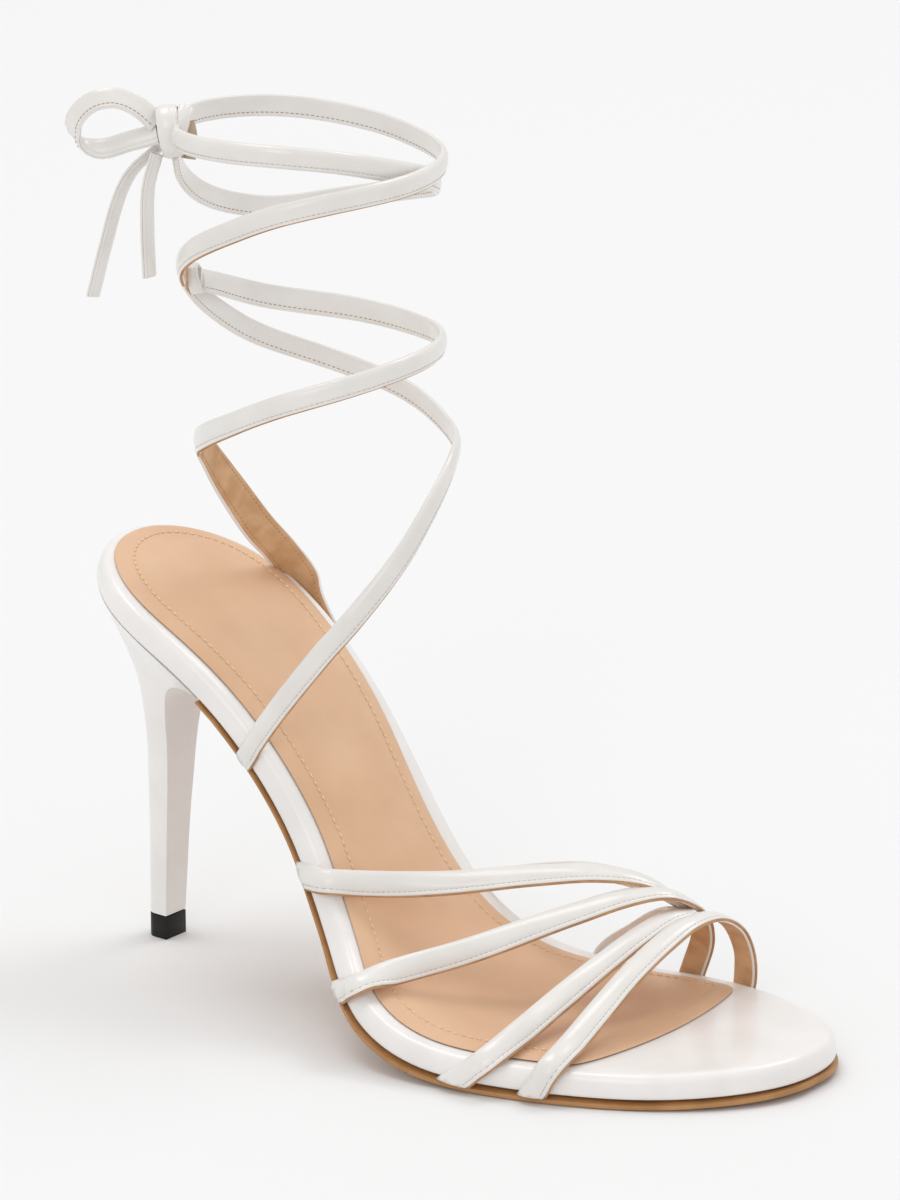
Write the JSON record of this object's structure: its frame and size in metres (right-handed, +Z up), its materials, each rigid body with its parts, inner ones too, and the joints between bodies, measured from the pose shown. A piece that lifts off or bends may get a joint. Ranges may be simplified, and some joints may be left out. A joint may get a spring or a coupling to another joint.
{
  "type": "strappy sandal",
  "caption": "High-heeled strappy sandal for a right foot, with thin crossing toe straps, long ankle ties in a bow, a padded insole and a stiletto heel.",
  "frame": {"origin": "on the floor under the heel tip, on its resting face", "axes": "+X to the toe, +Y to the inner (big toe) side of the right foot, +Z up"},
  "size_m": [0.2095, 0.0903, 0.2308],
  "materials": {
    "white_leather": "smooth satin white",
    "sock_leather": "matt tan",
    "outsole_leather": "caramel sole edge",
    "heel_tip_rubber": "satin black"
  },
  "bodies": {
    "root": {"outsole": "outsole_leather", "platform": "white_leather", "sock": "sock_leather", "heel": "white_leather", "heel_tip": "heel_tip_rubber", "vamp_straps": "white_leather", "lateral_tie": "white_leather", "medial_tie": "white_leather", "collar_loop": "white_leather", "bow_knot": "white_leather", "bow_loop": "white_leather", "bow_tail_long": "white_leather", "bow_tail_short": "white_leather"}
  },
  "joints": []
}
